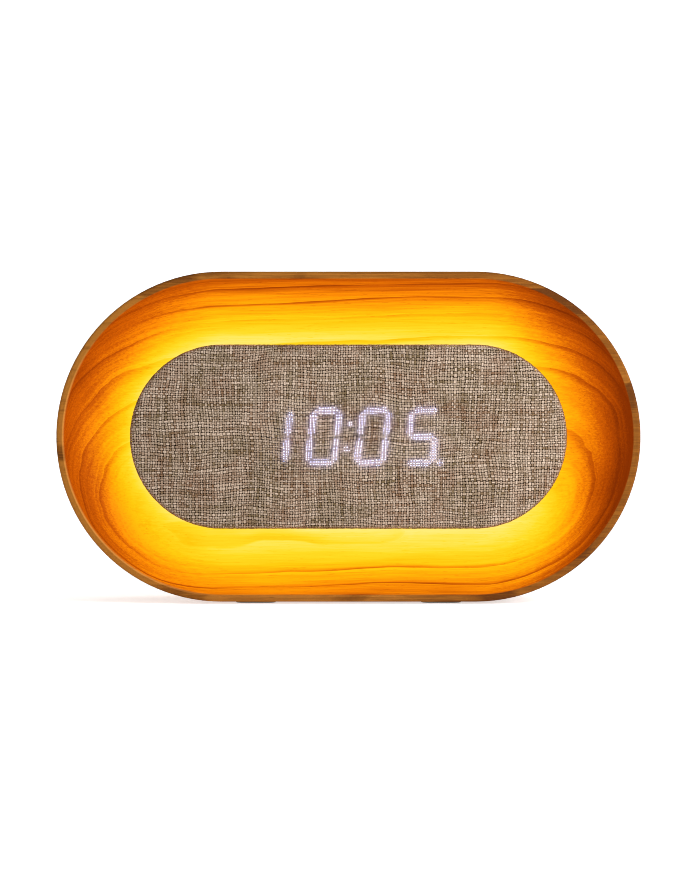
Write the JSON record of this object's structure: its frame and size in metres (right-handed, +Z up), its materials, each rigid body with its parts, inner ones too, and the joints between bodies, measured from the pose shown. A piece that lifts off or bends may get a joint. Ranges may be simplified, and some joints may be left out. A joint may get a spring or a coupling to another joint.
{
  "type": "alarm clock",
  "caption": "Stadium-shaped wooden desk alarm clock and night light: digits show through a cloth panel, set in a carved dish lit by a hidden ring of warm LEDs.",
  "frame": {"origin": "on the table, under the middle of the clock", "axes": "+X to the right seen from the front, +Y from the display to the back cover, +Z up"},
  "size_m": [0.2, 0.05, 0.1138],
  "materials": {
    "oiled_wood": "oiled, open grain",
    "woven_cloth": "plain weave, two-tone linen look",
    "dark_plastic": "moulded, matt",
    "white_plastic": "moulded, matt, reflective white",
    "circuit_film": "flexible circuit film",
    "led_phosphor": "phosphor over the LED die",
    "diffuser": "frosted",
    "lit_segment": "backlit epoxy",
    "dark_segment": "unlit epoxy",
    "display_face": "matt black",
    "circuit_board": "solder mask over glass fibre",
    "chip_plastic": "moulded epoxy",
    "steel": "zinc plated",
    "brass": "turned, knurled",
    "rubber": "matt black",
    "foam": "closed-cell foam",
    "ferrite": "ground ferrite",
    "speaker_paper": "coated paper",
    "copper_wire": "enamelled copper",
    "battery_foil": "foil pouch and cans",
    "cover_plastic": "moulded, fine spark texture",
    "button_plastic": "moulded, satin",
    "plunger_plastic": "moulded",
    "lead_rubber": "PVC covered stranded wire"
  },
  "bodies": {
    "housing": {"wood_body": "oiled_wood", "rubber_feet": "rubber", "threaded_inserts": "brass", "cloth_cover": "woven_cloth", "front_plate": "dark_plastic", "cloth_clamp_ring": "dark_plastic", "light_core": "white_plastic", "led_strip": "circuit_film", "led_chips": "led_phosphor", "light_diffuser": "diffuser", "lit_segments": "lit_segment", "dark_segments": "dark_segment", "display_module": "display_face", "display_pins": "steel", "display_board": "circuit_board", "display_driver_chip": "chip_plastic", "speaker_gasket": "foam", "speaker_frame": "steel", "speaker_top_plate": "steel", "speaker_magnet": "ferrite", "speaker_yoke": "steel", "speaker_surround": "rubber", "battery_tray": "dark_plastic", "battery_foam_pad": "foam", "battery_cell": "battery_foil", "rear_cover": "cover_plastic", "main_board": "circuit_board", "tact_switches": "chip_plastic", "power_switch_body": "steel", "usb_socket_shell": "steel", "usb_socket_tongue": "chip_plastic", "circuit_chips": "chip_plastic", "clock_crystal": "steel", "power_inductor": "ferrite", "capacitors": "battery_foil", "board_connectors": "white_plastic", "battery_lead": "lead_rubber", "speaker_lead": "lead_rubber", "led_lead": "lead_rubber", "display_ribbon": "circuit_film", "front_plate_screws": "steel", "display_board_screws": "steel", "speaker_screws": "steel", "battery_tray_screws": "steel", "main_board_screws": "steel", "light_core_screws": "steel", "rear_cover_screws": "steel"},
    "button_set": {"button_set": "button_plastic", "plunger_set": "plunger_plastic"},
    "button_alarm": {"button_alarm": "button_plastic", "plunger_alarm": "plunger_plastic"},
    "button_plus": {"button_plus": "button_plastic", "plunger_plus": "plunger_plastic"},
    "button_minus": {"button_minus": "button_plastic", "plunger_minus": "plunger_plastic"},
    "button_light": {"button_light": "button_plastic", "plunger_light": "plunger_plastic"},
    "power_switch": {"power_switch_knob": "button_plastic"},
    "speaker_cone": {"speaker_cone": "speaker_paper", "voice_coil": "copper_wire"}
  },
  "joints": [
    {"name": "press_set", "type": "slide", "parent": "housing", "child": "button_set", "axis": [0, -1, 0], "range_m": [0, 0.0005], "stiffness_N_per_m": 800},
    {"name": "press_alarm", "type": "slide", "parent": "housing", "child": "button_alarm", "axis": [0, -1, 0], "range_m": [0, 0.0005], "stiffness_N_per_m": 800},
    {"name": "press_plus", "type": "slide", "parent": "housing", "child": "button_plus", "axis": [0, -1, 0], "range_m": [0, 0.0005], "stiffness_N_per_m": 800},
    {"name": "press_minus", "type": "slide", "parent": "housing", "child": "button_minus", "axis": [0, -1, 0], "range_m": [0, 0.0005], "stiffness_N_per_m": 800},
    {"name": "press_light", "type": "slide", "parent": "housing", "child": "button_light", "axis": [0, -1, 0], "range_m": [0, 0.0005], "stiffness_N_per_m": 800},
    {"name": "power_slide", "type": "slide", "parent": "housing", "child": "power_switch", "axis": [-1, 0, 0], "range_m": [0, 0.0025]},
    {"name": "cone_travel", "type": "slide", "parent": "housing", "child": "speaker_cone", "axis": [0, -1, 0], "range_m": [-0.0005, 0.0005], "stiffness_N_per_m": 1200, "deforming": ["speaker_surround"]}
  ]
}
